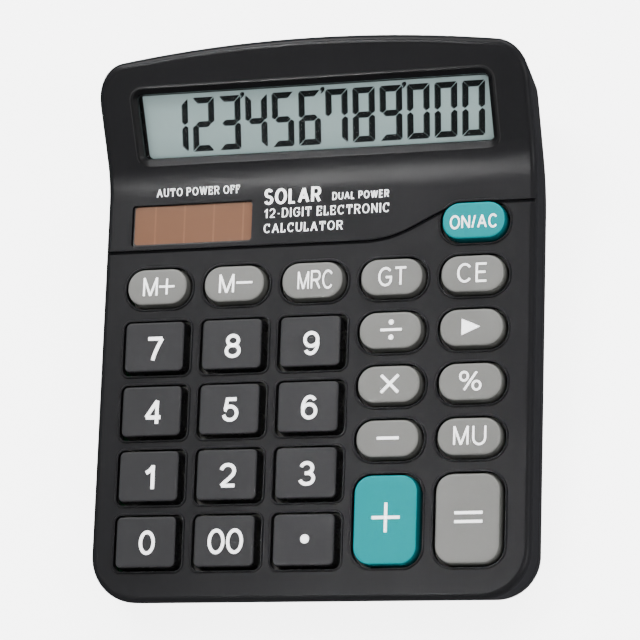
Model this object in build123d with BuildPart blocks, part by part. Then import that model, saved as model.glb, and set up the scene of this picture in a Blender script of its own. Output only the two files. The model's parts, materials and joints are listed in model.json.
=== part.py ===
"""Desk calculator with a twelve-digit display: a two-shell case with a sloping key deck and a tilted
display hood, twenty-six push keys over a rubber dome sheet and a circuit board, a liquid-crystal display,
a solar cell, and one AA cell behind a sliding door.

The row frame is in millimetres: +X to the right, +Y away from the user, +Z up, and the origin on the desk
under the middle of the case. Two tilted frames carry the details. The deck frame has its origin on the top
surface of the key deck, between the second and third rows of number keys. The panel frame has its origin on
the fold line where the deck turns up into the display hood.
"""

from build123d import *
from math import cos, radians, sin, tan
import os

# Case, overall
CASE_WIDTH = 118.0
CASE_LENGTH = 145.0
WALL = 2.0
DECK_TILT = 4.0
PANEL_TILT = 27.5
FRONT_HEIGHT = 12.0
FRONT_LEAN = 11.5
REAR_HEIGHT = 38.0
REAR_LEAN = 12.0
REAR_ARCH = 3.4
FRONT_CORNER = 13.0
FRONT_CORNER_LOW = 10.8
REAR_CORNER = 8.5
FOLD_RADIUS = 24.0
TOP_EDGE_RADIUS = 1.6
SKIRT = 8.2
SIDE_BAND = 3.4
HOOD_BAND = 0.5
UNDERCUT = 22.0
BASE_GAP = 1.2
FLOOR_TOP = BASE_GAP + WALL
LIP_HEIGHT = 1.4
LIP_GAP = 0.15
LIP_THICKNESS = 1.1

# Deck frame: where its origin lies in the row frame
FRONT_V = -41.6
FOLD_V = 71.9
DECK_Y = -CASE_LENGTH / 2 - FRONT_V * cos(radians(DECK_TILT))
DECK_Z = FRONT_HEIGHT - FRONT_V * sin(radians(DECK_TILT))

# Keys
COLUMN_PITCH = 21.5
ROW_PITCH = 17.3
OVAL_PITCH = 14.15
OVAL_FIRST_V = -0.25
TALL_V = -21.1
KEY_RISE = 2.1
KEY_DRAFT = 5.5
KEY_EDGE = 0.5
KEY_WALL = 1.2
KEY_TRAVEL = 1.15
TAB_TOP = -WALL - 0.05
TAB_THICKNESS = 0.85
TAB_LENGTH = 6.0
TAB_REACH = 0.8
STEM_RADIUS = 2.0
STEM_END = -3.4
STEM_RIB = 0.9
RIM_WIDTH = 0.65
RIM_RISE = 0.3
RIM_SLOPE = 35.0

# Face width, face length, face corner, hole width, hole length, hole corner
KEY_KINDS = {
    "number": (16.3, 13.2, 1.4, 18.8, 14.8, 2.0),
    "oval": (16.5, 9.6, 4.5, 18.6, 11.2, 5.3),
    "tall": (16.6, 22.7, 4.4, 18.7, 24.3, 5.3),
}

# Layers under the deck, as heights in the deck frame
DOME_TOP = STEM_END - 0.05
PILL_TOP = -4.65
PILL_BOTTOM = -4.95
SHEET_TOP = -5.3
BOARD_TOP = -6.15
BOARD_THICKNESS = 1.2
BOARD_BOTTOM = BOARD_TOP - BOARD_THICKNESS
DOME_RADIUS = 3.6
DOME_SKIN = 0.7
PILL_RADIUS = 1.8
BOARD_SIZE = (111.0, -33.2, 63.5)
SHEET_SIZE = (104.0, -33.0, 49.0)

# Display, in the panel frame
WINDOW_CENTRE = 14.6
WINDOW_SIZE = (98.5, 20.7)
WINDOW_CORNER = 3.0
OPENING_SIZE = (96.2, 17.5)
OPENING_CORNER = 1.2
BEVEL_DEPTH = 1.3
PANE_TOP = -1.5
PANE_SIZE = (97.2, 20.0)
PANE_THICKNESS = 1.0
PANE_GAP = 0.2
LCD_SIZE = (98.4, 21.2)
LCD_TOP = -2.8
LCD_FILM = 0.2
LCD_PLATE = 0.8
LCD_LEDGE = 1.6
LCD_REFLECTOR = 0.25
LCD_FOAM = 0.55
LCD_BOTTOM = LCD_TOP - LCD_FILM - 2 * LCD_PLATE - LCD_REFLECTOR - LCD_FOAM
BRACKET_SIZE = (101.2, 24.6)
BRACKET_FLOOR = 1.0
BRACKET_EAR = 2.2
RIBBON_WIDTH = 56.0
RIBBON_THICKNESS = 0.15

# Solar cell, in the deck frame
SOLAR_CENTRE = (-34.8, 59.7)
SOLAR_SIZE = (33.9, 11.2)
SOLAR_CORNER = 0.9
SOLAR_LEDGE = 0.7
SOLAR_DEPTH = 1.4
SOLAR_PANE = 0.6
CELL_MARGIN = 1.3
CELL_THICKNESS = 1.1

# Styling groove across the deck
GROOVE_WIDTH = 0.95
GROOVE_DEPTH = 0.7
GROOVE_LEFT_V = 52.5
GROOVE_RIGHT_V = 61.5
GROOVE_START_X = 13.0
GROOVE_END_X = 45.0

# Fasteners and feet, in the row frame
CASE_SCREWS = [(-51.4, -66.6), (51.4, -66.6), (-50.0, 38.7), (50.0, 38.7)]
CASE_BOSS = 2.2
CASE_TUBE = 3.1
CASE_SHANK = 0.9
CASE_HEAD = 1.7
CASE_HEAD_HEIGHT = 1.2
CASE_GRIP = 1.4
BOARD_SCREWS = [(-54.0, -17.3), (-54.0, 17.3), (54.0, -7.4), (54.0, 21.0), (0.0, 57.5)]
BOARD_BOSS = 1.7
BOARD_SHANK = 0.8
BOARD_HEAD = 1.5
BRACKET_SCREWS = [(-51.7, 7.0), (51.7, 7.0), (-51.7, 19.5), (51.7, 19.5)]
BRACKET_BOSS = 1.6
FOOT_RADIUS = 4.5
FOOT_RECESS = 0.8
FEET = {
    "foot_front_left": (-40.0, -56.0),
    "foot_front_right": (40.0, -56.0),
    "foot_rear_left": (-41.0, 54.0),
    "foot_rear_right": (41.0, 54.0),
}

PLATE_PLACE = (0.0, 18.0)
PLATE_SIZE = (52.0, 24.0)
PLATE_RECESS = 0.3

# Battery bay, in the row frame
CELL_RADIUS = 5.25
CELL_LENGTH = 44.5
CELL_NUB = (1.9, 0.9)
BAY_Y = 53.0
BAY_Z = 8.4
BAY_HALF_LENGTH = 25.2
BAY_HALF_WIDTH = 5.7
BAY_WALL = 1.3
BAY_TOP = BAY_Z + CELL_RADIUS + 0.4
CONTACT_THICKNESS = 0.4
SPRING_WIRE = 0.35
DOOR_HALF_WIDTH = 31.0
DOOR_FRONT = 43.6
DOOR_THICKNESS = 1.6
DOOR_TOP = 11.0
DOOR_GAP = 0.15
TONGUE_BOTTOM = 2.0
TONGUE_TOP = 2.75
TONGUE_REACH = 1.2
PAD_TOP = 4.2
WIRE_RADIUS = 0.5
WIRE_BEND = 2.0


def deck_point(v, s=0.0):
    """Row-frame (y, z) of a point at v up the deck and s above its surface."""
    tilt = radians(DECK_TILT)
    return DECK_Y + v * cos(tilt) - s * sin(tilt), DECK_Z + v * sin(tilt) + s * cos(tilt)


def panel_point(p, s=0.0):
    """Row-frame (y, z) of a point at p up the display panel and s above its surface."""
    tilt = radians(DECK_TILT + PANEL_TILT)
    y, z = deck_point(FOLD_V)
    return y + p * cos(tilt) - s * sin(tilt), z + p * sin(tilt) + s * cos(tilt)


def tilted_plane(origin, tilt):
    """Plane through a (y, z) origin, its normal leaning back to the user by tilt degrees."""
    normal = (0, -sin(radians(tilt)), cos(radians(tilt)))
    return Plane(origin=(0, *origin), x_dir=(1, 0, 0), z_dir=normal)


DECK = tilted_plane(deck_point(0), DECK_TILT)
PANEL = tilted_plane(panel_point(0), DECK_TILT + PANEL_TILT)
DECK_NORMAL = DECK.z_dir
REACH = 90.0


def save(piece, name):
    """Labels a finished piece and writes it as one STEP file."""
    piece.part.label = name
    export_step(piece.part, f"parts/{name}.step")


def outline(height, inset):
    """Plan outline of the case at a height: leaning front, arched leaning rear, rounded corners."""
    front = -CASE_LENGTH / 2 + (FRONT_HEIGHT - height) * tan(radians(FRONT_LEAN)) + inset
    rear = CASE_LENGTH / 2 - (REAR_HEIGHT - height) * tan(radians(REAR_LEAN)) - inset
    side = CASE_WIDTH / 2 - inset
    corner = FRONT_CORNER_LOW + (FRONT_CORNER - FRONT_CORNER_LOW) * height / FRONT_HEIGHT
    with BuildSketch(Plane.XY.offset(height)) as plan:
        with BuildLine():
            Polyline((-side, rear - REAR_ARCH), (-side, front), (side, front), (side, rear - REAR_ARCH))
            ThreePointArc((side, rear - REAR_ARCH), (0, rear), (-side, rear - REAR_ARCH))
        make_face()
        fillet(plan.vertices().sort_by(Axis.Y)[:2], corner - inset)
        fillet(plan.vertices().sort_by(Axis.Y)[-2:], REAR_CORNER - inset)
    return plan


def envelope(inset):
    """The case's side walls as one solid, from the desk to above the hood."""
    low = outline(0.0, inset)
    high = outline(REAR_HEIGHT + 8.0, inset)
    return loft([low.sketch.faces()[0], high.sketch.faces()[0]], ruled=True, mode=Mode.PRIVATE)


def surface_line(depth):
    """Side profile of the top surface, lowered by a depth: deck, rounded fold, panel."""
    fold = FOLD_V + depth * tan(radians(PANEL_TILT / 2))
    rise = radians(PANEL_TILT)
    start = deck_point(FRONT_V - 20, -depth)
    corner = deck_point(fold, -depth)
    end = deck_point(fold + 60 * cos(rise), -depth + 60 * sin(rise))
    return FilletPolyline(start, corner, end, radius=FOLD_RADIUS + depth)


def slab(top_depth, bottom_depth):
    """Everything between two depths below the top surface, across the whole width."""
    with BuildSketch(Plane.YZ) as side:
        with BuildLine():
            upper = surface_line(top_depth)
            lower = surface_line(bottom_depth)
            Line(upper @ 0, lower @ 0)
            Line(upper @ 1, lower @ 1)
        make_face()
    return extrude(side.sketch.faces()[0], REACH, both=True, mode=Mode.PRIVATE)


def below(depth, floor):
    """Everything below a depth under the top surface and above a floor height."""
    with BuildSketch(Plane.YZ) as side:
        with BuildLine():
            upper = surface_line(depth)
            first = upper @ 0
            last = upper @ 1
            Polyline((first.X, first.Y), (first.X, floor), (last.X, floor), (last.X, last.Y))
        make_face()
    return extrude(side.sketch.faces()[0], REACH, both=True, mode=Mode.PRIVATE)


def side_undercut(inset):
    """The wedges taken off both lower sides, so that the case narrows towards the desk."""
    start = CASE_WIDTH / 2 - inset
    slope = Vector(-sin(radians(UNDERCUT)), 0, -cos(radians(UNDERCUT)))
    deck_start = deck_point(FRONT_V - 20, -SKIRT - SIDE_BAND)
    bend = deck_point(FOLD_V - 4.0, -SKIRT - SIDE_BAND)
    hood_end = panel_point(50.0, -SKIRT - HOOD_BAND)
    with BuildSketch(Plane.YZ.offset(start)) as side:
        with BuildLine():
            upper = FilletPolyline(deck_start, bend, hood_end, radius=FOLD_RADIUS + SKIRT)
            first = upper @ 0
            last = upper @ 1
            Polyline((first.X, first.Y), (first.X, -REACH), (last.X, -REACH), (last.X, last.Y))
        make_face()
    right = extrude(side.sketch.faces()[0], 55.0, dir=slope, mode=Mode.PRIVATE)
    outer = extrude(side.sketch.faces()[0], 5.0, dir=(1, 0, 0), mode=Mode.PRIVATE)
    wedge = right + outer
    return wedge + mirror(wedge, about=Plane.YZ, mode=Mode.PRIVATE)


def key_layout():
    """Name, kind, x and v of every key, from the grid's pitches."""
    columns = [COLUMN_PITCH * (i - 2) for i in range(5)]
    rows = [ROW_PITCH * (i - 1.5) for i in range(4)]
    ovals = [OVAL_FIRST_V + OVAL_PITCH * i for i in range(5)]
    numbers = (
        ("key_0", "key_double_zero", "key_decimal"),
        ("key_1", "key_2", "key_3"),
        ("key_4", "key_5", "key_6"),
        ("key_7", "key_8", "key_9"),
    )
    memory = ("key_memory_plus", "key_memory_minus", "key_memory_recall", "key_grand_total", "key_clear_entry")
    fourth = ("key_subtract", "key_multiply", "key_divide")
    fifth = ("key_mark_up", "key_percent", "key_backspace")
    layout = [
        (name, "number", columns[i], rows[j])
        for j, row in enumerate(numbers)
        for i, name in enumerate(row)
    ]
    layout += [(name, "oval", columns[i], ovals[3]) for i, name in enumerate(memory)]
    layout += [(name, "oval", columns[3], ovals[i]) for i, name in enumerate(fourth)]
    layout += [(name, "oval", columns[4], ovals[i]) for i, name in enumerate(fifth)]
    layout += [("key_all_clear", "oval", columns[4], ovals[4])]
    layout += [("key_add", "tall", columns[3], TALL_V), ("key_equals", "tall", columns[4], TALL_V)]
    return layout


KEYS = key_layout()


def posts(plane, places, radius, bottom, top):
    """Round posts or holes, square to a plane, between two heights above it."""
    with BuildSketch(plane.offset(bottom)) as discs:
        with Locations(*places):
            Circle(radius)
    return extrude(discs.sketch, amount=top - bottom, mode=Mode.PRIVATE)


def blocks(plane, places, size, corner, bottom, top, taper=0.0):
    """Blocks or pockets with rounded corners, square to a plane, between two heights above it."""
    with BuildSketch(plane.offset(bottom)) as shapes:
        with Locations(*places):
            RectangleRounded(*size, corner)
    return extrude(shapes.sketch, amount=top - bottom, taper=taper, mode=Mode.PRIVATE)


def box(x, y, z):
    """A plain block given as three (low, high) pairs in the row frame."""
    with BuildSketch(Plane.XY.offset(z[0])) as base:
        with Locations(((x[0] + x[1]) / 2, (y[0] + y[1]) / 2)):
            Rectangle(x[1] - x[0], y[1] - y[0])
    return extrude(base.sketch, amount=z[1] - z[0], mode=Mode.PRIVATE)


def groove_cut():
    """The S-shaped groove that crosses the deck from side to side."""
    half = CASE_WIDTH / 2 + 2
    middle = ((GROOVE_START_X + GROOVE_END_X) / 2, (GROOVE_LEFT_V + GROOVE_RIGHT_V) / 2)
    climb = Vector(GROOVE_END_X - GROOVE_START_X, (GROOVE_RIGHT_V - GROOVE_LEFT_V) * 1.9)
    with BuildSketch(DECK.offset(-GROOVE_DEPTH)) as groove:
        with BuildLine() as path:
            Line((-half, GROOVE_LEFT_V), (GROOVE_START_X, GROOVE_LEFT_V))
            Spline((GROOVE_START_X, GROOVE_LEFT_V), middle, (GROOVE_END_X, GROOVE_RIGHT_V),
                   tangents=[(1, 0), climb.normalized(), (1, 0)])
            Line((GROOVE_END_X, GROOVE_RIGHT_V), (half, GROOVE_RIGHT_V))
        trace(path.line, GROOVE_WIDTH)
    return extrude(groove.sketch, amount=3.0, mode=Mode.PRIVATE)


def seat_height(y):
    """Height at which a case screw's boss meets its tube, just under the board's level."""
    return deck_point((y - DECK_Y) / cos(radians(DECK_TILT)), BOARD_BOTTOM - 0.6)[1]


def head_seat(y):
    """Height of the face that a case screw's head is drawn up against."""
    return seat_height(y) - CASE_GRIP


def window_funnel():
    """The bevelled hole that the display is seen through."""
    middle = [(0, WINDOW_CENTRE)]
    with BuildSketch(PANEL) as mouth:
        with Locations(*middle):
            RectangleRounded(*WINDOW_SIZE, WINDOW_CORNER)
    with BuildSketch(PANEL.offset(-BEVEL_DEPTH)) as throat:
        with Locations(*middle):
            RectangleRounded(*OPENING_SIZE, OPENING_CORNER)
    bevel = loft([mouth.sketch.faces()[0], throat.sketch.faces()[0]], ruled=True, mode=Mode.PRIVATE)
    above = extrude(mouth.sketch, amount=4.0, mode=Mode.PRIVATE)
    through = extrude(throat.sketch, amount=-3.0, mode=Mode.PRIVATE)
    return bevel + above + through


# Top shell: deck with its key holes and rims, display hood, solar and display openings, screw bosses
with BuildPart() as upper_case:
    add(envelope(0.0))
    add(slab(0.0, SKIRT), mode=Mode.INTERSECT)
    tops = upper_case.faces().filter_by(lambda f: f.normal_at(f.center()).Z > 0.5)
    seams = tops.edges()
    fillet([e for e in seams if sum(e == other for other in seams) == 1], TOP_EDGE_RADIUS)
    add(envelope(WALL) & below(WALL, -5.0), mode=Mode.SUBTRACT)
    room = envelope(0.6) & below(0.8, -5.0)
    bosses = posts(DECK, BOARD_SCREWS, BOARD_BOSS, BOARD_TOP, 5.0)
    bosses += posts(PANEL, BRACKET_SCREWS, BRACKET_BOSS, LCD_BOTTOM, 0.0)
    for x, y in CASE_SCREWS:
        bosses += posts(Plane.XY, [(x, y)], CASE_BOSS, seat_height(y), REAR_HEIGHT)
    bosses += blocks(PANEL, [(0, WINDOW_CENTRE)], (LCD_SIZE[0] + 1.6, LCD_SIZE[1] + 1.6), 1.0, LCD_TOP, 0.0)
    add(bosses & room)
    for kind, (_, _, _, hole_x, hole_y, corner) in KEY_KINDS.items():
        spots = [(x, v) for _, k, x, v in KEYS if k == kind]
        rim = (hole_x + 2 * RIM_WIDTH, hole_y + 2 * RIM_WIDTH)
        add(blocks(DECK, spots, rim, corner + RIM_WIDTH, -0.1, RIM_RISE, RIM_SLOPE))
    for kind, (_, _, _, hole_x, hole_y, corner) in KEY_KINDS.items():
        spots = [(x, v) for _, k, x, v in KEYS if k == kind]
        add(blocks(DECK, spots, (hole_x, hole_y), corner, -WALL - 1.0, 1.0), mode=Mode.SUBTRACT)
    add(groove_cut(), mode=Mode.SUBTRACT)
    add(window_funnel(), mode=Mode.SUBTRACT)
    pocket = (PANE_SIZE[0] + 2 * PANE_GAP, PANE_SIZE[1] + 2 * PANE_GAP)
    add(blocks(PANEL, [(0, WINDOW_CENTRE)], pocket, 1.0, -5.0, PANE_TOP), mode=Mode.SUBTRACT)
    add(blocks(DECK, [SOLAR_CENTRE], SOLAR_SIZE, SOLAR_CORNER, -SOLAR_DEPTH, 1.0), mode=Mode.SUBTRACT)
    sight = (SOLAR_SIZE[0] - 2 * SOLAR_LEDGE, SOLAR_SIZE[1] - 2 * SOLAR_LEDGE)
    add(blocks(DECK, [SOLAR_CENTRE], sight, 0.5, -4.0, 0.0), mode=Mode.SUBTRACT)
    add(posts(DECK, BOARD_SCREWS, BOARD_SHANK, BOARD_TOP - 1, BOARD_TOP + 3.6), mode=Mode.SUBTRACT)
    add(posts(PANEL, BRACKET_SCREWS, BOARD_SHANK, LCD_BOTTOM - 1, LCD_BOTTOM + 3.0), mode=Mode.SUBTRACT)
    for x, y in CASE_SCREWS:
        seat = seat_height(y)
        add(posts(Plane.XY, [(x, y)], CASE_SHANK, seat - 1, seat + 5.2), mode=Mode.SUBTRACT)
save(upper_case, "upper_case")

# Bottom shell: floor, side walls that tuck under, locating lip, screw tubes, battery bay
with BuildPart() as lower_case:
    add(envelope(0.0) & below(SKIRT + LIP_GAP, BASE_GAP))
    add(side_undercut(0.0), mode=Mode.SUBTRACT)
    cavity = (envelope(WALL) & below(SKIRT - 5.0, FLOOR_TOP)) - side_undercut(WALL)
    add(cavity, mode=Mode.SUBTRACT)
    ring = envelope(WALL + 0.12) & (below(SKIRT - LIP_HEIGHT, -5.0) - below(SKIRT + 1.2, -6.0))
    ring -= envelope(WALL + 0.12 + LIP_THICKNESS)
    ring += (envelope(WALL - 0.5) - envelope(WALL + 0.12 + LIP_THICKNESS)) & (
        below(SKIRT + LIP_GAP, -5.0) - below(SKIRT + 1.2, -6.0)
    )
    ring -= posts(Plane.XY, CASE_SCREWS, CASE_BOSS + 0.3, -5.0, REAR_HEIGHT)
    add(ring & box((-REACH, REACH), (-REACH, REACH), (BASE_GAP, REAR_HEIGHT)))
    inner = envelope(0.4) & below(SKIRT + 0.2, BASE_GAP)
    for x, y in CASE_SCREWS:
        tube = posts(Plane.XY, [(x, y)], CASE_TUBE, BASE_GAP, seat_height(y))
        add((tube & inner) + (tube & envelope(WALL + 0.15)))
    bay_x = BAY_HALF_LENGTH + BAY_WALL
    bay_y = BAY_HALF_WIDTH + BAY_WALL
    add(box((-34.0, 34.0), (DOOR_FRONT - 3.0, BAY_Y + bay_y + 0.9), (BASE_GAP, PAD_TOP)))
    add(box((-bay_x, bay_x), (BAY_Y - bay_y, BAY_Y + bay_y), (PAD_TOP - 0.5, BAY_TOP + BAY_WALL)))
    # Door opening, its side slots and the notch in the rear wall
    reach = DOOR_HALF_WIDTH + DOOR_GAP
    front = DOOR_FRONT - DOOR_GAP
    door_top = BASE_GAP + DOOR_THICKNESS + DOOR_GAP
    add(box((-reach, reach), (front, REACH), (-1.0, door_top)), mode=Mode.SUBTRACT)
    slot = reach + TONGUE_REACH
    slot_z = (TONGUE_BOTTOM - 0.1, TONGUE_TOP + 0.1)
    add(box((-slot, slot), (front - TONGUE_REACH, REACH), slot_z), mode=Mode.SUBTRACT)
    add(box((-reach, reach), (BAY_Y + bay_y + 1.0, REACH), (-1.0, DOOR_TOP + DOOR_GAP)), mode=Mode.SUBTRACT)
    # Bay, contact slots, screw holes and foot recesses
    bay = (BAY_Y - BAY_HALF_WIDTH, BAY_Y + BAY_HALF_WIDTH)
    add(box((-BAY_HALF_LENGTH, BAY_HALF_LENGTH), bay, (-1.0, BAY_TOP)), mode=Mode.SUBTRACT)
    for side in (-1, 1):
        end = sorted((side * BAY_HALF_LENGTH, side * (BAY_HALF_LENGTH - CONTACT_THICKNESS - 0.1)))
        add(box(end, (BAY_Y - bay_y - 1.0, BAY_Y), (BAY_Z - 1.6, BAY_Z + 1.6)), mode=Mode.SUBTRACT)
    for x, y in CASE_SCREWS:
        add(posts(Plane.XY, [(x, y)], CASE_SHANK + 0.3, -1.0, REAR_HEIGHT), mode=Mode.SUBTRACT)
        add(posts(Plane.XY, [(x, y)], CASE_HEAD + 0.3, -1.0, head_seat(y)), mode=Mode.SUBTRACT)
    add(posts(Plane.XY, list(FEET.values()), FOOT_RADIUS + 0.05, -1.0, BASE_GAP + FOOT_RECESS),
        mode=Mode.SUBTRACT)
    add(blocks(Plane.XY, [PLATE_PLACE], PLATE_SIZE, 1.5, -1.0, BASE_GAP + PLATE_RECESS), mode=Mode.SUBTRACT)
save(lower_case, "lower_case")

# Battery door: floor plate with side tongues, rear wall piece and grip grooves
with BuildPart() as battery_door:
    top = BASE_GAP + DOOR_THICKNESS
    plate = box((-DOOR_HALF_WIDTH, DOOR_HALF_WIDTH), (DOOR_FRONT, REACH), (BASE_GAP, top))
    back = box((-DOOR_HALF_WIDTH, DOOR_HALF_WIDTH), (BAY_Y + 8.0, REACH), (BASE_GAP, DOOR_TOP))
    add(plate & envelope(0.0))
    add(back & (envelope(0.0) - envelope(WALL - 0.4)))
    tongue = DOOR_HALF_WIDTH + TONGUE_REACH
    tongues = box((-tongue, tongue), (DOOR_FRONT - 1.0, BAY_Y + 8.6), (TONGUE_BOTTOM, TONGUE_TOP))
    add(tongues)
    for i in range(5):
        y = DOOR_FRONT + 3.0 + 1.5 * i
        groove = box((-6.0, 6.0), (y, y + 0.7), (BASE_GAP - 1.0, BASE_GAP + 0.4))
        add(groove, mode=Mode.SUBTRACT)
save(battery_door, "battery_door")


def make_key(name, kind, x, v):
    """A hollow drafted key with side tabs under the deck and a ribbed stem over its dome."""
    face_x, face_y, corner, hole_x, _, _ = KEY_KINDS[kind]
    plane = Plane(origin=DECK.from_local_coords((x, v, 0)), x_dir=(1, 0, 0), z_dir=DECK.z_dir)
    tab_bottom = TAB_TOP - TAB_THICKNESS
    depth = KEY_RISE - TAB_TOP
    spread = 2 * depth * tan(radians(KEY_DRAFT))
    middle = [(0, 0)]
    with BuildPart() as key:
        add(blocks(plane, middle, (face_x + spread, face_y + spread), corner, TAB_TOP, KEY_RISE, KEY_DRAFT))
        crown = key.faces().sort_by(lambda f: DECK.to_local_coords(f.center()).Z)[-1]
        fillet(crown.edges(), KEY_EDGE)
        skirt = (face_x + spread, face_y + spread)
        add(blocks(plane, middle, skirt, corner, tab_bottom, TAB_TOP))
        tabs = (hole_x + 2 * TAB_REACH, TAB_LENGTH)
        add(blocks(plane, middle, tabs, 0.5, tab_bottom, TAB_TOP))
        hollow = (face_x - 2 * KEY_WALL + 0.6, face_y - 2 * KEY_WALL + 0.6)
        add(blocks(plane, middle, hollow, max(corner - 1, 0.4), -8.0, KEY_RISE - 1.5), mode=Mode.SUBTRACT)
        ribs = blocks(plane, middle, (hollow[0] + 1, STEM_RIB), 0.2, tab_bottom, KEY_RISE - 1.0)
        ribs += blocks(plane, middle, (STEM_RIB, hollow[1] + 1), 0.2, tab_bottom, KEY_RISE - 1.0)
        add(ribs)
        add(posts(plane, middle, STEM_RADIUS, STEM_END, KEY_RISE - 1.0))
    return key


# Keys
for name, kind, x, v in KEYS:
    save(make_key(name, kind, x, v), name)

# Solar window, cell and the foam that holds the cell up
with BuildPart() as solar_window:
    pane = (SOLAR_SIZE[0] - 0.2, SOLAR_SIZE[1] - 0.2)
    add(blocks(DECK, [SOLAR_CENTRE], pane, SOLAR_CORNER - 0.1, -SOLAR_DEPTH, -SOLAR_DEPTH + SOLAR_PANE))
save(solar_window, "solar_window")

with BuildPart() as solar_cell:
    cell = (SOLAR_SIZE[0] + 2 * CELL_MARGIN, SOLAR_SIZE[1] + 2 * CELL_MARGIN)
    add(blocks(DECK, [SOLAR_CENTRE], cell, 0.3, -WALL - CELL_THICKNESS, -WALL))
save(solar_cell, "solar_cell")

SOLAR_WIRE_PLACES = [(SOLAR_CENTRE[0] + 16.5, SOLAR_CENTRE[1] - rise) for rise in (1.0, 4.0)]

with BuildPart() as solar_pad:
    spot = [(SOLAR_CENTRE[0] - 3.0, SOLAR_CENTRE[1] - 3.2)]
    add(blocks(DECK, spot, (26.0, 6.0), 0.5, BOARD_TOP, -WALL - CELL_THICKNESS))
save(solar_pad, "solar_pad")

# Display stack, held up in the hood by the bracket
middle = [(0, WINDOW_CENTRE)]
with BuildPart() as display_window:
    add(blocks(PANEL, middle, PANE_SIZE, 0.8, PANE_TOP - PANE_THICKNESS, PANE_TOP))
save(display_window, "display_window")

film = (LCD_SIZE[0] - 1.0, LCD_SIZE[1] - 1.0)
rear_plate = [(0, WINDOW_CENTRE + LCD_LEDGE / 2)]
front_bottom = LCD_TOP - LCD_FILM - LCD_PLATE
with BuildPart() as lcd_front_polariser:
    add(blocks(PANEL, middle, film, 0.3, LCD_TOP - LCD_FILM, LCD_TOP))
save(lcd_front_polariser, "lcd_front_polariser")

with BuildPart() as lcd_front_plate:
    add(blocks(PANEL, middle, LCD_SIZE, 0.3, front_bottom, LCD_TOP - LCD_FILM))
save(lcd_front_plate, "lcd_front_plate")

with BuildPart() as lcd_rear_plate:
    size = (LCD_SIZE[0], LCD_SIZE[1] - LCD_LEDGE)
    add(blocks(PANEL, rear_plate, size, 0.3, front_bottom - LCD_PLATE, front_bottom))
save(lcd_rear_plate, "lcd_rear_plate")

with BuildPart() as lcd_reflector:
    size = (film[0], film[1] - LCD_LEDGE)
    bottom = front_bottom - LCD_PLATE - LCD_REFLECTOR
    add(blocks(PANEL, rear_plate, size, 0.3, bottom, front_bottom - LCD_PLATE))
save(lcd_reflector, "lcd_reflector")

with BuildPart() as lcd_foam:
    size = (film[0] - 2.0, film[1] - LCD_LEDGE - 2.0)
    add(blocks(PANEL, rear_plate, size, 0.5, LCD_BOTTOM, LCD_BOTTOM + LCD_FOAM))
save(lcd_foam, "lcd_foam")

with BuildPart() as lcd_bracket:
    floor = LCD_BOTTOM - BRACKET_FLOOR
    add(blocks(PANEL, middle, BRACKET_SIZE, 1.0, floor, front_bottom + 0.4) & envelope(WALL + 0.3))
    add(posts(PANEL, BRACKET_SCREWS, BRACKET_EAR, floor, LCD_BOTTOM))
    pocket = (LCD_SIZE[0] + 0.4, LCD_SIZE[1] + 0.4)
    add(blocks(PANEL, middle, pocket, 0.4, LCD_BOTTOM, 0.0), mode=Mode.SUBTRACT)
    add(posts(PANEL, BRACKET_SCREWS, BRACKET_BOSS + 0.2, LCD_BOTTOM, 0.0), mode=Mode.SUBTRACT)
    mouth = blocks(PANEL, [(0, WINDOW_CENTRE - BRACKET_SIZE[1] / 2)], (RIBBON_WIDTH + 3, 7.0), 0.4, -9.0, 0.0)
    add(mouth, mode=Mode.SUBTRACT)
    add(posts(PANEL, BRACKET_SCREWS, BOARD_SHANK + 0.1, -9.0, 0.0), mode=Mode.SUBTRACT)
    windows = [(-24.0, WINDOW_CENTRE + 2), (24.0, WINDOW_CENTRE + 2)]
    add(blocks(PANEL, windows, (40.0, 9.0), 1.5, -9.0, LCD_BOTTOM + 0.1), mode=Mode.SUBTRACT)
save(lcd_bracket, "lcd_bracket")


def pan_head(plane, places, level, shank, length, head, height):
    """Screws whose heads are drawn up against a level from below, with a cross recess in each head."""
    screws = posts(plane, places, shank, level, level + length)
    screws += posts(plane, places, head, level - height, level)
    for size in ((head * 1.1, 0.35), (0.35, head * 1.1)):
        screws -= blocks(plane, places, size, 0.1, level - height - 1, level - height + 0.5)
    return screws


with BuildPart() as bracket_screws:
    level = LCD_BOTTOM - BRACKET_FLOOR
    add(pan_head(PANEL, BRACKET_SCREWS, level, BOARD_SHANK, 3.6, BOARD_HEAD, 0.9))
save(bracket_screws, "bracket_screws")

# Heat-sealed ribbon from the display's contact ledge to the board
with BuildPart() as lcd_ribbon:
    ledge = WINDOW_CENTRE - LCD_SIZE[1] / 2
    thick = RIBBON_THICKNESS
    start = deck_point(60.9, BOARD_TOP + thick / 2)
    leave = deck_point(63.0, BOARD_TOP + thick / 2)
    turn = panel_point(ledge - 3.2, front_bottom - thick / 2)
    finish = panel_point(ledge + LCD_LEDGE - 0.1, front_bottom - thick / 2)
    with BuildSketch(Plane.YZ.offset(-RIBBON_WIDTH / 2)):
        with BuildLine() as run:
            FilletPolyline(start, leave, turn, finish, radius=1.6)
        trace(run.line, thick)
    extrude(amount=RIBBON_WIDTH)
save(lcd_ribbon, "lcd_ribbon")

# Circuit board and what is soldered to it
with BuildPart() as circuit_board:
    width, front, rear = BOARD_SIZE
    with BuildSketch(DECK.offset(BOARD_BOTTOM)):
        with Locations((0, (front + rear) / 2)):
            RectangleRounded(width, rear - front, 4.0)
        with Locations(*BOARD_SCREWS):
            Circle(BOARD_SHANK + 0.15, mode=Mode.SUBTRACT)
    extrude(amount=BOARD_THICKNESS)
save(circuit_board, "circuit_board")

with BuildPart() as board_screws:
    add(pan_head(DECK, BOARD_SCREWS, BOARD_BOTTOM, BOARD_SHANK, 4.6, BOARD_HEAD, 0.9))
save(board_screws, "board_screws")

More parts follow.
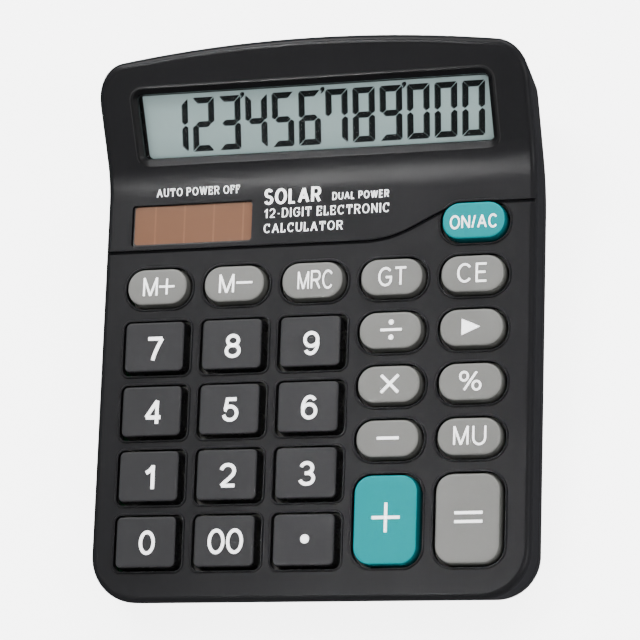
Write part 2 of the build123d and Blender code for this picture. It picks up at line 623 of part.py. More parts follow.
with BuildPart() as chip_cover:
    add(posts(DECK, [(2.0, 34.0)], 6.5, BOARD_BOTTOM - 1.3, BOARD_BOTTOM))
    low = chip_cover.faces().sort_by(lambda f: DECK.to_local_coords(f.center()).Z)[0]
    fillet(low.edges(), 1.1)
save(chip_cover, "chip_cover")

with BuildPart() as capacitor:
    with BuildSketch(Plane.YZ.offset(34.0)):
        with Locations(deck_point(44.0, BOARD_BOTTOM - 2.4)):
            Circle(2.4)
    extrude(amount=8.0)
    fillet(capacitor.edges().filter_by(GeomType.CIRCLE), 0.4)
save(capacitor, "capacitor")

with BuildPart() as resistors:
    spots = [(-22.0 + 6.0 * i, 52.0) for i in range(4)]
    add(blocks(DECK, spots, (3.2, 1.6), 0.1, BOARD_BOTTOM - 0.6, BOARD_BOTTOM))
save(resistors, "resistors")

# Rubber dome sheet with a hollow dome under every key, and the carbon pills inside the domes
DOMES = [(x, v) for _, _, x, v in KEYS]

with BuildPart() as dome_sheet:
    width, front, rear = SHEET_SIZE
    rear_tab = (20.0, 14.0)
    base = blocks(DECK, [(0, (front + rear) / 2)], (width, rear - front), 1.5, BOARD_TOP, SHEET_TOP)
    base += blocks(DECK, [(41.5, rear + 6.0)], rear_tab, 1.5, BOARD_TOP, SHEET_TOP)
    add(base)
    for x, v in DOMES:
        with BuildSketch(DECK.offset(SHEET_TOP - 0.05)) as foot:
            with Locations((x, v)):
                Circle(DOME_RADIUS)
        add(extrude(foot.sketch, amount=DOME_TOP - SHEET_TOP + 0.05, taper=35.0, mode=Mode.PRIVATE))
    for x, v in DOMES:
        with BuildSketch(DECK.offset(BOARD_TOP - 0.01)) as foot:
            with Locations((x, v)):
                Circle(DOME_RADIUS - 0.1)
        hollow = extrude(foot.sketch, amount=BOARD_TOP * -1 + DOME_TOP - DOME_SKIN, taper=38.0, mode=Mode.PRIVATE)
        add(hollow, mode=Mode.SUBTRACT)
    add(posts(DECK, DOMES, PILL_RADIUS - 0.3, PILL_TOP, DOME_TOP - DOME_SKIN + 0.1))
save(dome_sheet, "dome_sheet")

with BuildPart() as contact_pills:
    add(posts(DECK, DOMES, PILL_RADIUS - 0.3, PILL_BOTTOM, PILL_TOP))
save(contact_pills, "contact_pills")

# Case screws, driven up from the underside
with BuildPart() as case_screws:
    for x, y in CASE_SCREWS:
        level = head_seat(y)
        add(pan_head(Plane.XY, [(x, y)], level, CASE_SHANK, CASE_GRIP + 5.0, CASE_HEAD, CASE_HEAD_HEIGHT))
save(case_screws, "case_screws")

# Cell, its two contacts and the wires to the board
nub_radius, nub_length = CELL_NUB
contact_x = BAY_HALF_LENGTH - CONTACT_THICKNESS
nub_x = -contact_x
can_start = nub_x + nub_length
can_end = nub_x + CELL_LENGTH

with BuildPart() as battery_cell:
    with BuildSketch(Plane.YZ.offset(can_start)):
        with Locations((BAY_Y, BAY_Z)):
            Circle(CELL_RADIUS)
    extrude(amount=can_end - can_start)
    fillet(battery_cell.edges().filter_by(GeomType.CIRCLE), 0.6)
    with BuildSketch(Plane.YZ.offset(nub_x)):
        with Locations((BAY_Y, BAY_Z)):
            Circle(nub_radius)
    extrude(amount=nub_length + 0.2)
save(battery_cell, "battery_cell")


def contact_plate(side):
    """A thin upright plate across one end of the bay, with a tab through the bay's front wall."""
    ends = sorted((side * BAY_HALF_LENGTH, side * contact_x))
    plate = box(ends, (BAY_Y - 4.5, BAY_Y + 4.5), (BAY_Z - 5.0, BAY_Z + 4.5))
    tab = box(ends, (BAY_Y - BAY_HALF_WIDTH - BAY_WALL - 1.8, BAY_Y - 4.0), (BAY_Z - 1.4, BAY_Z + 1.4))
    return plate + tab


with BuildPart() as positive_contact:
    add(contact_plate(-1))
save(positive_contact, "positive_contact")

with BuildPart() as negative_spring:
    add(contact_plate(1))
    height = contact_x - can_end - SPRING_WIRE
    coil = Helix(pitch=height / 3.5, height=height, radius=3.4, center=(contact_x + 0.1, BAY_Y, BAY_Z),
                 direction=(-1, 0, 0))
    with BuildSketch(Plane(origin=coil @ 0, z_dir=coil % 0)) as section:
        Circle(SPRING_WIRE)
    add(sweep(section.sketch, path=coil, is_frenet=True, mode=Mode.PRIVATE))
save(negative_spring, "negative_spring")


def battery_wire(side):
    """A wire from a contact's tab, forward under the board and up to its underside."""
    x = side * (BAY_HALF_LENGTH - CONTACT_THICKNESS / 2)
    y = BAY_Y - BAY_HALF_WIDTH - BAY_WALL - 1.8
    rise_y, rise_z = deck_point(57.0, BOARD_BOTTOM)
    path = FilletPolyline((x, y, BAY_Z), (x, rise_y, BAY_Z - 1.0), (x, rise_y, rise_z), radius=WIRE_BEND)
    return path


for name, side in (("wire_battery_positive", -1), ("wire_battery_negative", 1)):
    with BuildPart() as wire:
        with BuildLine() as run:
            add(battery_wire(side))
        with BuildSketch(Plane(origin=run.line @ 0, z_dir=run.line % 0)):
            Circle(WIRE_RADIUS)
        sweep()
    save(wire, name)

for name, place in zip(("wire_solar_positive", "wire_solar_negative"), SOLAR_WIRE_PLACES):
    with BuildPart() as wire:
        add(posts(DECK, [place], WIRE_RADIUS, BOARD_TOP, -WALL - CELL_THICKNESS))
    save(wire, name)

# Rubber feet, set into recesses in the floor
for name, (x, y) in FEET.items():
    with BuildPart() as foot:
        add(posts(Plane.XY, [(x, y)], FOOT_RADIUS, 0.0, BASE_GAP + FOOT_RECESS))
        low = foot.faces().sort_by(Axis.Z)[0]
        fillet(low.edges(), 0.5)
    save(foot, name)
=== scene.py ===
"""Looks for the desk calculator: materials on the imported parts, shaped key caps, printed legends,
the display's digits, the solar cell's lines, a pale floor, studio light and the camera."""

import json
import math

import bmesh
import bpy
from mathutils import Matrix, Vector


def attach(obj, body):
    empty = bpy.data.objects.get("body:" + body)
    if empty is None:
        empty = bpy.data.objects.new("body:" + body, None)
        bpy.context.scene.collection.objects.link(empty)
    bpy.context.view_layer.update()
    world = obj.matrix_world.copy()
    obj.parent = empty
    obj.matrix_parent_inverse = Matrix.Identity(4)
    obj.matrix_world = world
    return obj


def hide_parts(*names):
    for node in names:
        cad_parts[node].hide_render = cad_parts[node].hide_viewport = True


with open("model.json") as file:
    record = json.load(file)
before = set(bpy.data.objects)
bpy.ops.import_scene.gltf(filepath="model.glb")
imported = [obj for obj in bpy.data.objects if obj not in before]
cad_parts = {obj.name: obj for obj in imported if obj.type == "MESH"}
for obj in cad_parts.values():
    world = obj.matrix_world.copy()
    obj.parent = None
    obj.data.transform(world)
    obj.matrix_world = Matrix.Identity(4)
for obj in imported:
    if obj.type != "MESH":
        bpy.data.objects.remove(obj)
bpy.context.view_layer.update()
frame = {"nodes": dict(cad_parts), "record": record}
nodes = frame["nodes"]
MM = 0.001

# Sizes and places of the case and keys, in millimetres and degrees, repeated from the CAD source
DECK_TILT = 4.0
PANEL_TILT = 27.5
FRONT_V = -41.6
FOLD_V = 71.9
FOLD_RADIUS = 24.0
CASE_FRONT, FRONT_HEIGHT = -72.5, 12.0
DECK_Y = CASE_FRONT - FRONT_V * math.cos(math.radians(DECK_TILT))
DECK_Z = FRONT_HEIGHT - FRONT_V * math.sin(math.radians(DECK_TILT))
COLUMN_PITCH, ROW_PITCH, OVAL_PITCH = 21.5, 17.3, 14.15
OVAL_FIRST_V, TALL_V = -0.25, -21.1
KEY_RISE, KEY_DRAFT = 2.1, 5.5
TAB_TOP, TAB_THICKNESS = -2.05, 0.85
SOLAR_CENTRE = (-34.8, 59.7)
WINDOW_CENTRE = 14.6
LCD_TOP = -2.8
GROOVE_START, GROOVE_END = (13.0, 52.5), (45.0, 61.5)
GROOVE_STEEPNESS = 1.9
# Face width, face length and face corner of each kind of key
KEY_KINDS = {"number": (16.3, 13.2, 1.4), "oval": (16.5, 9.6, 4.5), "tall": (16.6, 22.7, 4.4)}

# Sizes that only the visual model has
GROOVE_SHADE_REACH, GROOVE_SHADE_WIDTH, GROOVE_SHADE_DEPTH = 58.2, 0.8, 0.32
SOLAR_LINE_PITCH = 8.247
MASK_HEIGHT = -2.68


def tilted(y, z, tilt):
    """Matrix from a tilted frame's millimetres to the row frame's metres."""
    c, s = math.cos(math.radians(tilt)), math.sin(math.radians(tilt))
    turn = Matrix(((1, 0, 0, 0), (0, c, -s, y), (0, s, c, z), (0, 0, 0, 1)))
    return Matrix.Scale(MM, 4) @ turn


DECK = tilted(DECK_Y, DECK_Z, DECK_TILT)
fold = DECK @ Vector((0, FOLD_V, 0)) / MM
PANEL = tilted(fold.y, fold.z, DECK_TILT + PANEL_TILT)


# ---------------------------------------------------------------- materials
def linear(c):
    """An sRGB colour given as 0 to 255, as linear RGBA."""
    shares = [v / 255 for v in c]
    return (*(v / 12.92 if v <= 0.04045 else ((v + 0.055) / 1.055) ** 2.4 for v in shares), 1.0)


def toned(color, factor, lift=0.0):
    """A linear colour made darker or paler."""
    return (*(min(1.0, c * factor + lift) for c in color[:3]), 1.0)


class Shader:
    """A principled material with helpers for its procedural inputs."""

    def __init__(self, name):
        self.material = bpy.data.materials.new(name)
        self.material.use_nodes = True
        self.tree = self.material.node_tree
        self.bsdf = self.tree.nodes["Principled BSDF"]
        self.coords = self.add("ShaderNodeTexCoord").outputs["Object"]

    def add(self, kind, **values):
        made = self.tree.nodes.new(kind)
        for key, value in values.items():
            setattr(made, key, value)
        return made

    def link(self, a, b):
        self.tree.links.new(a, b)

    def set(self, **values):
        for key, value in values.items():
            self.bsdf.inputs[key.replace("_", " ")].default_value = value
        return self

    def stretch(self, scale):
        """Object coordinates multiplied by a scale on each axis."""
        made = self.add("ShaderNodeMapping")
        made.inputs["Scale"].default_value = scale
        self.link(self.coords, made.inputs["Vector"])
        return made.outputs["Vector"]

    def noise(self, size_mm, detail=2.0, rough=0.5, vector=None):
        made = self.add("ShaderNodeTexNoise")
        made.inputs["Scale"].default_value = 1000.0 / size_mm
        made.inputs["Detail"].default_value = detail
        made.inputs["Roughness"].default_value = rough
        self.link(vector or self.coords, made.inputs["Vector"])
        return made.outputs["Fac"]

    def remap(self, value, low, high, start=0.3, end=0.7):
        made = self.add("ShaderNodeMapRange")
        made.inputs["From Min"].default_value = start
        made.inputs["From Max"].default_value = end
        made.inputs["To Min"].default_value = low
        made.inputs["To Max"].default_value = high
        self.link(value, made.inputs["Value"])
        return made.outputs["Result"]

    def mix(self, factor, a, b):
        """One colour mixed into another. The node's colour sockets share a name, so they go by number."""
        made = self.add("ShaderNodeMix", data_type="RGBA")
        self.link(factor, made.inputs["Factor"])
        for index, value in ((6, a), (7, b)):
            if isinstance(value, tuple):
                made.inputs[index].default_value = value
            else:
                self.link(value, made.inputs[index])
        return made.outputs[2]

    def math(self, kind, a, b):
        made = self.add("ShaderNodeMath", operation=kind)
        for socket, value in zip(made.inputs, (a, b)):
            if isinstance(value, (int, float)):
                socket.default_value = value
            else:
                self.link(value, socket)
        return made.outputs[0]

    def edges(self, radius_mm):
        """A softened normal, and how far it leans from the true one: 0 on flats, about 1 on sharp edges."""
        soft = self.add("ShaderNodeBevel", samples=4)
        soft.inputs["Radius"].default_value = radius_mm * MM
        geometry = self.add("ShaderNodeNewGeometry")
        dot = self.add("ShaderNodeVectorMath", operation="DOT_PRODUCT")
        self.link(soft.outputs["Normal"], dot.inputs[0])
        self.link(geometry.outputs["Normal"], dot.inputs[1])
        return soft.outputs["Normal"], self.remap(dot.outputs["Value"], 1.0, 0.0, 0.82, 1.0)

    def bump(self, height, depth_mm, normal=None):
        made = self.add("ShaderNodeBump")
        made.inputs["Strength"].default_value = 1.0
        made.inputs["Distance"].default_value = depth_mm * MM
        self.link(height, made.inputs["Height"])
        if normal is not None:
            self.link(normal, made.inputs["Normal"])
        return made.outputs["Normal"]

    def finish(self, color=None, roughness=None, normal=None):
        for name, value in (("Base Color", color), ("Roughness", roughness), ("Normal", normal)):
            if isinstance(value, (tuple, float, int)):
                self.bsdf.inputs[name].default_value = value
            elif value is not None:
                self.link(value, self.bsdf.inputs[name])
        return self.material


def moulded(name, rgb, rough=0.5, grain=0.35, depth=0.012, patch=0.06, wear=0.25, bevel=0.12, **values):
    """Moulded plastic: fine spark-eroded grain, faint flow patches, and edges polished by handling."""
    s = Shader(name).set(**values)
    base = linear(rgb)
    pale = toned(base, 1 + patch)
    color = s.mix(s.remap(s.noise(14.0, 3.0), 0.0, 1.0), toned(base, 1 - patch), pale)
    fleck = s.noise(grain, 2.0, 0.6)
    color = s.mix(s.remap(fleck, 0.0, 0.16), color, pale)
    soft, edge = s.edges(bevel)
    color = s.mix(s.math("MULTIPLY", edge, wear), color, toned(base, 1.35, 0.004))
    rub = s.remap(s.noise(5.0, 4.0, 0.6), rough * 0.92, rough * 1.08)
    rub = s.math("SUBTRACT", rub, s.math("MULTIPLY", edge, 0.08))
    return s.finish(color, rub, s.bump(fleck, depth, soft))


def film(name, rgb, rough=0.3, size=2.0, spread=0.05, depth=0.004, **values):
    """A smooth sheet or coating with faint unevenness."""
    s = Shader(name).set(**values)
    base = linear(rgb)
    haze = s.noise(size, 3.0)
    color = s.mix(s.remap(haze, 0.0, 1.0), toned(base, 1 - spread), toned(base, 1 + spread))
    return s.finish(color, s.remap(haze, rough * 0.9, rough * 1.1), s.bump(s.noise(size * 0.4), depth))


def metal(name, rgb, rough=0.3, along=(1, 1, 12)):
    """Drawn or stamped metal with fine lines along one axis."""
    s = Shader(name).set(Metallic=1.0)
    lines = s.noise(1.2, 4.0, 0.7, s.stretch(along))
    base = linear(rgb)
    color = s.mix(s.remap(lines, 0.0, 1.0), toned(base, 0.86), base)
    return s.finish(color, s.remap(lines, rough * 0.75, rough * 1.3), s.bump(lines, 0.006))


def clear(name, tint, low, high):
    """A clear window: nearly invisible face on, more reflective at a glancing angle."""
    s = Shader(name).set(IOR=1.49)
    facing = s.add("ShaderNodeLayerWeight")
    facing.inputs["Blend"].default_value = 0.25
    s.link(s.remap(facing.outputs["Facing"], low, high, 0.0, 1.0), s.bsdf.inputs["Alpha"])
    smear = s.noise(9.0, 4.0, 0.55)
    color = s.mix(s.remap(smear, 0.0, 1.0), linear(tint), toned(linear(tint), 0.9))
    return s.finish(color, s.remap(smear, 0.03, 0.1), s.bump(s.noise(12.0), 0.003))


def solar_material():
    """Amorphous cell: bronze film split by fine scribed lines across the strip."""
    s = Shader("solar_film").set(Metallic=0.1, Specular_IOR_Level=0.3)
    wave = s.add("ShaderNodeTexWave", wave_type="BANDS", bands_direction="X", wave_profile="SIN")
    wave.inputs["Scale"].default_value = math.pi / 10 / (SOLAR_LINE_PITCH * MM)
    s.link(s.coords, wave.inputs["Vector"])
    line = s.remap(wave.outputs["Fac"], 1.0, 0.0, 0.985, 1.0)
    cloud = s.noise(11.0, 3.0)
    color = s.mix(s.remap(cloud, 0.0, 1.0), linear((131, 89, 62)), linear((139, 97, 69)))
    grain = s.noise(0.5, 2.0)
    color = s.mix(s.remap(grain, 0.0, 0.25), color, linear((115, 77, 52)))
    color = s.mix(s.math("SUBTRACT", 1.0, line), linear((114, 76, 51)), color)
    return s.finish(color, s.remap(cloud, 0.32, 0.42), s.bump(grain, 0.003))


def board_material():
    """Solder mask over copper tracks, with the tracks raised a little."""
    s = Shader("solder_mask").set(Specular_IOR_Level=0.5, Coat_Weight=0.4, Coat_Roughness=0.15)
    brick = s.add("ShaderNodeTexBrick")
    brick.inputs["Scale"].default_value = 260.0
    brick.inputs["Mortar Size"].default_value = 0.018
    brick.inputs["Color1"].default_value = linear((18, 92, 52))
    brick.inputs["Color2"].default_value = linear((20, 98, 56))
    brick.inputs["Mortar"].default_value = linear((46, 132, 84))
    s.link(s.coords, brick.inputs["Vector"])
    cloud = s.noise(8.0, 3.0)
    color = s.mix(s.remap(cloud, 0.0, 0.3), brick.outputs["Color"], linear((12, 74, 42)))
    return s.finish(color, s.remap(cloud, 0.3, 0.42), s.bump(brick.outputs["Fac"], 0.03))


def foam_material(name, rgb):
    """Open foam with visible pores."""
    s = Shader(name)
    pores = s.add("ShaderNodeTexVoronoi")
    pores.inputs["Scale"].default_value = 1000 / 0.5
    s.link(s.coords, pores.inputs["Vector"])
    base = linear(rgb)
    color = s.mix(s.remap(pores.outputs["Distance"], 0.0, 1.0, 0.0, 0.6), toned(base, 0.4), base)
    return s.finish(color, 0.9, s.bump(pores.outputs["Distance"], 0.12))


MATERIALS = {
    "case_black": moulded(
        "case_plastic", (23, 23, 25), 0.33, grain=0.3, depth=0.01, wear=0.3, Specular_IOR_Level=0.145
    ),
    "key_black": moulded(
        "key_black_top", (47, 47, 49), 0.42, grain=0.22, depth=0.008, wear=0.45, Specular_IOR_Level=0.18
    ),
    "key_grey": moulded(
        "key_grey_top", (126, 126, 123), 0.45, grain=0.3, depth=0.005, wear=0.2, bevel=0.1,
        Specular_IOR_Level=0.35,
    ),
    "key_teal": moulded(
        "key_teal_top", (0, 156, 162), 0.42, grain=0.3, depth=0.005, wear=0.05, bevel=0.1, patch=0.02,
        Specular_IOR_Level=0.04,
    ),
    "foot_rubber": moulded("foot_rubber", (38, 38, 39), 0.85, grain=0.5, depth=0.03, wear=0.3),
    "clear_window": clear("clear_acrylic", (12, 13, 15), 0.02, 0.4),
    "display_glass": clear("display_glass", (40, 46, 46), 0.04, 0.4),
    "polariser": film("lcd_film", (187, 214, 213), 0.4, 9.0, 0.025),
    "reflector": metal("reflector_foil", (176, 182, 182), 0.4, (1, 6, 1)),
    "foam": foam_material("foam", (60, 60, 62)),
    "bracket_white": moulded("bracket_plastic", (216, 216, 210), 0.5, grain=0.4, depth=0.01),
    "ribbon": film("ribbon_film", (170, 118, 66), 0.35, 1.2, 0.1),
    "solar_cell": solar_material(),
    "board_green": board_material(),
    "screw_steel": metal("zinc_plate", (186, 188, 192), 0.35, (1, 1, 5)),
    "epoxy_black": film("chip_epoxy", (22, 22, 23), 0.25, 3.0, 0.15, 0.03),
    "capacitor_sleeve": film("capacitor_sleeve", (28, 40, 84), 0.3, 2.0, 0.1, 0.01),
    "resistor_black": film("resistor_glaze", (24, 24, 26), 0.3, 1.0, 0.1, 0.01),
    "dome_rubber": film("silicone_sheet", (206, 206, 200), 0.6, 3.0, 0.04, 0.02),
    "carbon_rubber": foam_material("carbon_rubber", (20, 20, 20)),
    "cell_jacket": film("cell_jacket", (36, 58, 112), 0.25, 6.0, 0.08, 0.006),
    "contact_steel": metal("nickel_plate", (206, 200, 186), 0.25, (1, 8, 1)),
    "wire_red": film("wire_red", (178, 30, 26), 0.4, 1.0, 0.08, 0.01),
    "wire_black": film("wire_black", (20, 20, 21), 0.4, 1.0, 0.08, 0.01),
}
# Darker copies of the key plastics for the key walls: painted shade on the walls, together with the walls'
# real glossier polish
SHADED_SIDES = {
    "key_black": moulded("key_black_side", (14, 14, 15), 0.28, grain=0.6, depth=0.002, wear=0.1, patch=0.1),
    "key_grey": moulded("key_grey_side", (92, 92, 89), 0.34, grain=0.6, depth=0.002, wear=0.15, patch=0.08),
    "key_teal": moulded("key_teal_side", (0, 96, 102), 0.25, grain=0.6, depth=0.002, wear=0.1, patch=0.08),
}
WHITE = (1.0, 1.0, 1.0, 1.0)
# White print ink with emission: painted light, so the print glows brighter than the lamps alone would make it
GLOWING_INK = film(
    "white_ink_glowing", (250, 250, 250), 0.5, 0.6, 0.02, 0.004, Emission_Strength=2.0, Emission_Color=WHITE
)
SEGMENT = film("lcd_segment", (25, 29, 30), 0.7, 1.5, 0.1, 0.001, Specular_IOR_Level=0.1)
BEZEL = moulded(
    "bezel_gloss", (12, 12, 14), 0.3, grain=0.8, depth=0.002, wear=0.4, bevel=0.2, patch=0.05,
    Specular_IOR_Level=0.25,
)
# Black for the window's printed mask and the throat's wall, also used as painted shade: the shadow line round
# the bezel and the border round the solar film
BLACK_MASK_AND_SHADE = film("window_mask", (7, 7, 8), 0.35, 4.0, 0.1)
SHADOW_LINE = film("groove_shade", (9, 9, 11), 0.8, 4.0, 0.1, Specular_IOR_Level=0.03)

slot_of = {s["node"]: s["material_slot"] for s in frame["record"]["subparts"]}
for name, node in nodes.items():
    node.data.materials.clear()
    node.data.materials.append(MATERIALS[slot_of[name]])


# ---------------------------------------------------------------- mesh helpers
def piece(name, mesh, body, materials):
    """Links a finished mesh, which is already in the row frame, to a body."""
    made = bpy.data.objects.new(name, mesh)
    bpy.context.scene.collection.objects.link(made)
    for m in materials:
        mesh.materials.append(m)
    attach(made, body)
    return made


def rounded(hx, hy, r, n=10):
    """Points round a rounded rectangle with half sizes hx and hy, the same number for any size."""
    r = max(min(r, hx, hy), 0.001)
    points = []
    for quarter, (right, top) in enumerate(((1, 1), (-1, 1), (-1, -1), (1, -1))):
        cx, cy = right * (hx - r), top * (hy - r)
        for i in range(n + 1):
            a = math.radians(90 * (quarter + i / n))
            points.append((cx + r * math.cos(a), cy + r * math.sin(a)))
    return points


def lofted(rings, matrix, cap_first=True, cap_last=True):
    """A mesh through rings of points, each a list of (x, y, z)."""
    mesh = bpy.data.meshes.new("loft")
    count = len(rings[0])
    points = [matrix @ Vector(p) for ring in rings for p in ring]
    faces = []
    for k in range(len(rings) - 1):
        for i in range(count):
            j = (i + 1) % count
            faces.append((k * count + i, k * count + j, (k + 1) * count + j, (k + 1) * count + i))
    if cap_first:
        faces.append(tuple(reversed(range(count))))
    if cap_last:
        faces.append(tuple((len(rings) - 1) * count + i for i in range(count)))
    mesh.from_pydata(points, [], faces)
    mesh.update()
    for f in mesh.polygons:
        f.use_smooth = True
    return mesh


def sharpen(mesh, angle):
    """Marks edges sharper than an angle, so that smooth shading stops there."""
    made = bmesh.new()
    made.from_mesh(mesh)
    bmesh.ops.recalc_face_normals(made, faces=made.faces)
    for e in made.edges:
        if len(e.link_faces) == 2 and e.calc_face_angle(0.0) > math.radians(angle):
            e.smooth = False
    made.to_mesh(mesh)
    made.free()


# ---------------------------------------------------------------- keys
# Depth of the dish and fall of the crown of each kind of key
DISH = {"number": (0.16, 0.0), "oval": (0.0, 0.10), "tall": (0.0, 0.12)}
EDGE_ROUND = {"number": 0.42, "oval": 0.55, "tall": 0.55}


def crown_height(kind, x, y):
    """Height of a key's face above its nominal top: number keys are dished, the others gently crowned."""
    fx, fy, _ = KEY_KINDS[kind]
    hollow, fall = DISH[kind]
    bowl = 1 - (2 * x / fx) ** 2 * 0.5 - (2 * y / fy) ** 2 * 0.5
    return -hollow * bowl - fall * (1 - bowl)


def key_mesh(kind, matrix):
    """A key cap: crowned face, rounded rim, drafted sides and the tab round its foot."""
    fx, fy, corner = KEY_KINDS[kind]
    edge = EDGE_ROUND[kind]
    slope = math.tan(math.radians(KEY_DRAFT))
    rings = []
    for t in (0.12, 0.25, 0.4, 0.55, 0.7, 0.82, 0.92, 1.0):
        hx, hy = (fx / 2 - edge) * t, (fy / 2 - edge) * t
        ring = rounded(hx, hy, max(corner - edge, 0.3) * t)
        rings.append([(x, y, KEY_RISE + crown_height(kind, x, y)) for x, y in ring])
    for i in range(1, 7):
        a = math.radians((90 - KEY_DRAFT) * i / 6)
        out, drop = edge * math.sin(a), edge * (1 - math.cos(a))
        ring = rounded(fx / 2 - edge + out, fy / 2 - edge + out, max(corner - edge, 0.3) + out)
        rings.append([(x, y, KEY_RISE + crown_height(kind, x, y) - drop) for x, y in ring])
    for z in (KEY_RISE - edge - 0.5, 0.6, 0.0, -1.0, TAB_TOP, TAB_TOP - TAB_THICKNESS):
        grow = (KEY_RISE - max(z, TAB_TOP)) * slope
        ring = rounded(fx / 2 + grow, fy / 2 + grow, corner + grow)
        rings.append([(x, y, z) for x, y in ring])
    mesh = lofted(rings, matrix)
    sharpen(mesh, 60)
    return mesh


def layout():
    """Each key's kind and place on the deck."""
    columns = [COLUMN_PITCH * (i - 2) for i in range(5)]
    rows = [ROW_PITCH * (i - 1.5) for i in range(4)]
    ovals = [OVAL_FIRST_V + OVAL_PITCH * i for i in range(5)]
    places = {}
    for j, names in enumerate((("0", "double_zero", "decimal"), "123", "456", "789")):
        for i, name in enumerate(names):
            places["key_" + name] = ("number", columns[i], rows[j])
    for i, name in enumerate(("memory_plus", "memory_minus", "memory_recall", "grand_total", "clear_entry")):
        places["key_" + name] = ("oval", columns[i], ovals[3])
    for i, name in enumerate(("subtract", "multiply", "divide")):
        places["key_" + name] = ("oval", columns[3], ovals[i])
    for i, name in enumerate(("mark_up", "percent", "backspace")):
        places["key_" + name] = ("oval", columns[4], ovals[i])
    places["key_all_clear"] = ("oval", columns[4], ovals[4])
    places["key_add"] = ("tall", columns[3], TALL_V)
    places["key_equals"] = ("tall", columns[4], TALL_V)
    return places


PLACES = layout()
side_cut = (DECK.to_3x3() @ Vector((0, 0, 1))).normalized()
for name, (kind, x, v) in PLACES.items():
    slot = slot_of[name]
    mesh = key_mesh(kind, DECK @ Matrix.Translation((x, v, 0)))
    cap = piece("cap_" + name[4:], mesh, name, [MATERIALS[slot], SHADED_SIDES[slot]])
    # Faces that lean away from up take the darker wall material, which is the painted shade on the key walls
    for f in mesh.polygons:
        if f.normal.dot(side_cut) < 0.45:
            f.material_index = 1
    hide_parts(name)


# ---------------------------------------------------------------- printed legends
def arc(cx, cy, rx, ry, start, end, n=14):
    """Points along part of an ellipse, angles in degrees."""
    step = (end - start) / n
    turns = [math.radians(start + step * i) for i in range(n + 1)]
    return [(cx + rx * math.cos(a), cy + ry * math.sin(a)) for a in turns]


BOWL = arc(0.62, 0.745, 0.38, 0.255, 90, -90, 10)
# Each glyph: its width against its height, and centre lines in a unit box
GLYPHS = {
    "0": (0.72, [arc(0.5, 0.5, 0.5, 0.5, 90, 450, 36)]),
    "1": (0.42, [[(1, 0), (1, 1)], [(1, 0.98), (0.8, 0.87), (0.45, 0.76), (0, 0.68)]]),
    "2": (0.72, [arc(0.49, 0.71, 0.46, 0.29, 170, -20)
                 + [(0.84, 0.5), (0.6, 0.34), (0.24, 0.14), (0.06, 0), (1, 0)]]),
    "3": (0.72, [arc(0.47, 0.755, 0.42, 0.245, 165, -80) + [(0.34, 0.51)],
                 arc(0.48, 0.265, 0.5, 0.265, 75, -165, 18)]),
    "4": (0.76, [[(0.74, 0), (0.74, 1), (0, 0.28), (1, 0.28)]]),
    "5": (0.72, [[(0.93, 1), (0.24, 1), (0.1, 0.5)] + arc(0.47, 0.325, 0.51, 0.325, 145, -165, 20)]),
    "6": (0.72, [arc(0.53, 0.755, 0.4, 0.245, 20, 90, 7) + arc(0.53, 0.44, 0.53, 0.56, 90, 180, 10),
                 arc(0.51, 0.32, 0.49, 0.32, 0, 360, 28)]),
    "7": (0.72, [[(0, 1), (1, 1), (0.78, 0.73), (0.58, 0.44), (0.45, 0.2), (0.38, 0)]]),
    "8": (0.72, [arc(0.5, 0.765, 0.42, 0.235, 0, 360, 26), arc(0.5, 0.27, 0.5, 0.27, 0, 360, 28)]),
    "9": (0.72, [arc(0.47, 0.245, 0.4, 0.245, 200, 270, 7) + arc(0.47, 0.56, 0.53, 0.56, 270, 360, 10),
                 arc(0.49, 0.68, 0.49, 0.32, 0, 360, 28)]),
    "%": (1.05, [arc(0.19, 0.76, 0.19, 0.24, 0, 360, 20), arc(0.81, 0.24, 0.19, 0.24, 0, 360, 20),
                 [(0.2, 0), (0.8, 1)]]),
    "-": (0.34, [[(0, 0.4), (1, 0.4)]]),
    "/": (0.36, [[(0, 0), (1, 1)]]),
    "A": (0.82, [[(0, 0), (0.5, 1), (1, 0)], [(0.17, 0.34), (0.83, 0.34)]]),
    "C": (0.78, [arc(0.52, 0.5, 0.52, 0.5, 40, 320, 24)]),
    "D": (0.74, [[(0, 0), (0, 1), (0.45, 1)] + arc(0.45, 0.5, 0.55, 0.5, 90, -90, 16) + [(0, 0)]]),
    "E": (0.62, [[(1, 1), (0, 1), (0, 0), (1, 0)], [(0, 0.52), (0.9, 0.52)]]),
    "F": (0.56, [[(1, 1), (0, 1), (0, 0)], [(0, 0.5), (0.85, 0.5)]]),
    "G": (0.82, [arc(0.52, 0.5, 0.52, 0.5, 42, 330, 24) + [(0.97, 0.47), (0.55, 0.47)]]),
    "I": (0.02, [[(0, 0), (0, 1)]]),
    "L": (0.56, [[(0, 1), (0, 0), (1, 0)]]),
    "M": (0.82, [[(0, 0), (0, 1), (0.5, 0), (1, 1), (1, 0)]]),
    "N": (0.74, [[(0, 0), (0, 1), (1, 0), (1, 1)]]),
    "O": (0.86, [arc(0.5, 0.5, 0.5, 0.5, 90, 450, 36)]),
    "P": (0.64, [[(0, 0), (0, 1), (0.6, 1)] + BOWL + [(0, 0.49)]]),
    "R": (0.7, [[(0, 0), (0, 1), (0.6, 1)] + BOWL + [(0, 0.49)], [(0.52, 0.49), (1, 0)]]),
    "S": (0.66, [arc(0.49, 0.75, 0.44, 0.25, 25, 270, 16) + arc(0.5, 0.25, 0.5, 0.25, 90, -160, 16)]),
    "T": (0.74, [[(0, 1), (1, 1)], [(0.5, 1), (0.5, 0)]]),
    "U": (0.74, [[(0, 1), (0, 0.36)] + arc(0.5, 0.36, 0.5, 0.36, 180, 360, 16) + [(1, 1)]]),
    "W": (1.12, [[(0, 1), (0.26, 0), (0.5, 1), (0.74, 0), (1, 1)]]),
}
